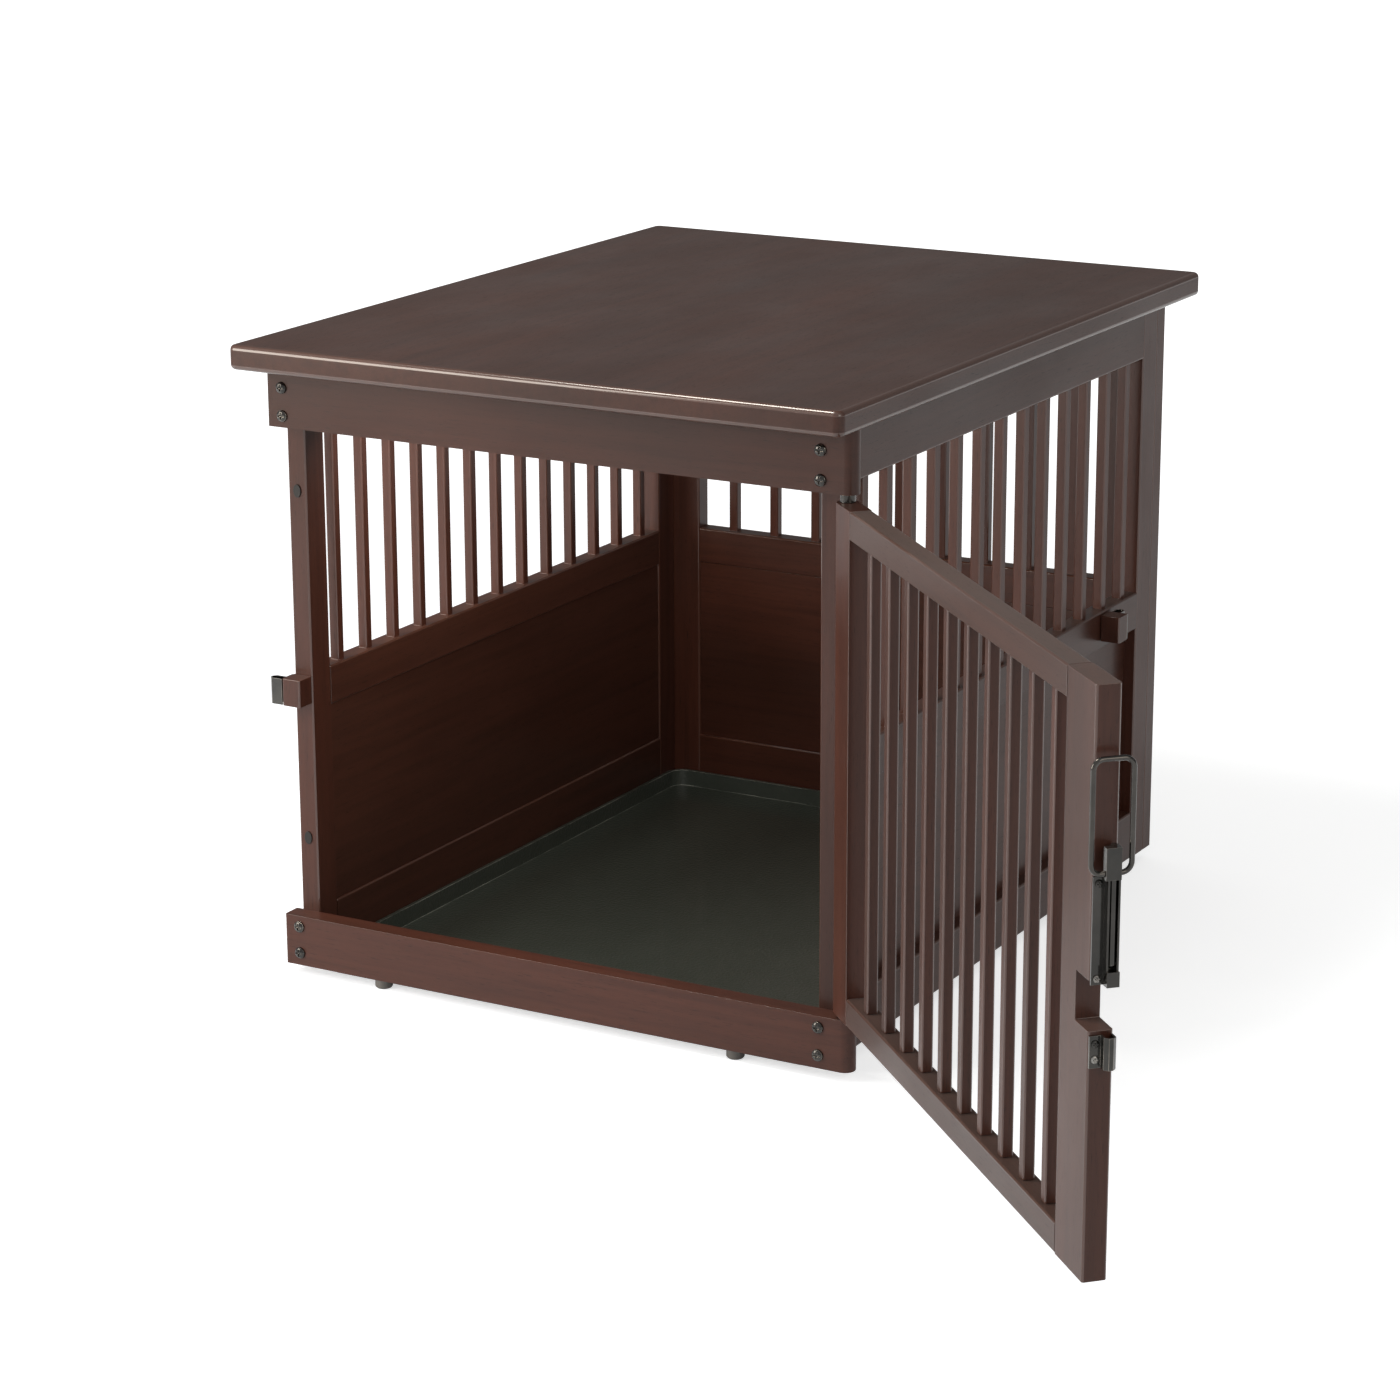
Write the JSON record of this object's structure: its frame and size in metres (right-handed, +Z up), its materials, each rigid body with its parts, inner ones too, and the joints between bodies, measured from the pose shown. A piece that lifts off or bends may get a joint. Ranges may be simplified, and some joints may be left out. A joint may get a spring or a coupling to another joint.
{
  "type": "dog crate end table",
  "caption": "Wooden pet crate under a tabletop, with barred sides, a barred door that swings open and folds back along the side, a drop bolt and a removable floor tray.",
  "frame": {"origin": "centre of the tabletop's upper face", "axes": "+Z up, the front with the door faces -Y, +X to the right seen from the front"},
  "size_m": [1.0112, 1.1214, 0.583],
  "materials": {
    "top_wood": "satin dark stain",
    "rail_wood": "satin dark stain",
    "panel_wood": "satin dark stain",
    "bar_wood": "satin dark stain",
    "dark_bronze": "dark bronze, semi-gloss",
    "tray_plastic": "fine pebbled",
    "glide_plastic": "smooth nylon",
    "bumper_rubber": "matt"
  },
  "bodies": {
    "cabinet": {"table_top": "top_wood", "front_top_rail": "rail_wood", "front_bottom_rail": "rail_wood", "left_front_stile": "panel_wood", "left_rear_stile": "panel_wood", "left_top_rail": "panel_wood", "left_bottom_rail": "panel_wood", "left_barred_rail": "bar_wood", "left_lower_panel": "panel_wood", "right_front_stile": "panel_wood", "right_rear_stile": "panel_wood", "right_top_rail": "panel_wood", "right_bottom_rail": "panel_wood", "right_barred_rail": "bar_wood", "right_lower_panel": "panel_wood", "back_left_stile": "panel_wood", "back_right_stile": "panel_wood", "back_top_rail": "panel_wood", "back_bottom_rail": "panel_wood", "back_barred_rail": "bar_wood", "back_lower_panel": "panel_wood", "front_left_foot": "glide_plastic", "front_right_foot": "glide_plastic", "rear_left_foot": "glide_plastic", "rear_right_foot": "glide_plastic", "left_top_upper_screw": "dark_bronze", "left_top_lower_screw": "dark_bronze", "left_bottom_upper_screw": "dark_bronze", "left_bottom_lower_screw": "dark_bronze", "right_top_upper_screw": "dark_bronze", "right_top_lower_screw": "dark_bronze", "right_bottom_upper_screw": "dark_bronze", "right_bottom_lower_screw": "dark_bronze", "lower_pivot_pin": "dark_bronze", "upper_pivot_pin": "dark_bronze", "lower_bumper": "bumper_rubber", "upper_bumper": "bumper_rubber", "left_keeper_block": "panel_wood", "left_keeper_strap": "dark_bronze", "right_keeper_block": "panel_wood", "right_keeper_strap": "dark_bronze"},
    "door": {"door_hinge_stile": "panel_wood", "door_free_stile": "panel_wood", "door_top_rail": "panel_wood", "door_bottom_rail": "panel_wood", "door_bar_1": "bar_wood", "door_bar_2": "bar_wood", "door_bar_3": "bar_wood", "door_bar_4": "bar_wood", "door_bar_5": "bar_wood", "door_bar_6": "bar_wood", "door_bar_7": "bar_wood", "door_bar_8": "bar_wood", "door_bar_9": "bar_wood", "door_bar_10": "bar_wood", "latch_channel": "dark_bronze", "latch_guide": "dark_bronze"},
    "bolt": {"latch_bolt": "dark_bronze", "latch_handle": "dark_bronze"},
    "tray": {"floor_tray": "tray_plastic"}
  },
  "joints": [
    {"name": "door_hinge", "type": "hinge", "parent": "cabinet", "child": "door", "pos_m": [0.2865, -0.333, -0.3], "axis": [0, 0, 1], "range_deg": [-135.6, 134.4]},
    {"name": "bolt_slide", "type": "slide", "parent": "door", "child": "bolt", "axis": [0, 0, -1], "range_m": [0, 0.067]},
    {"name": "tray_lift", "type": "slide", "parent": "cabinet", "child": "tray", "axis": [0, 0, 1], "range_m": [0, 0.04]}
  ]
}
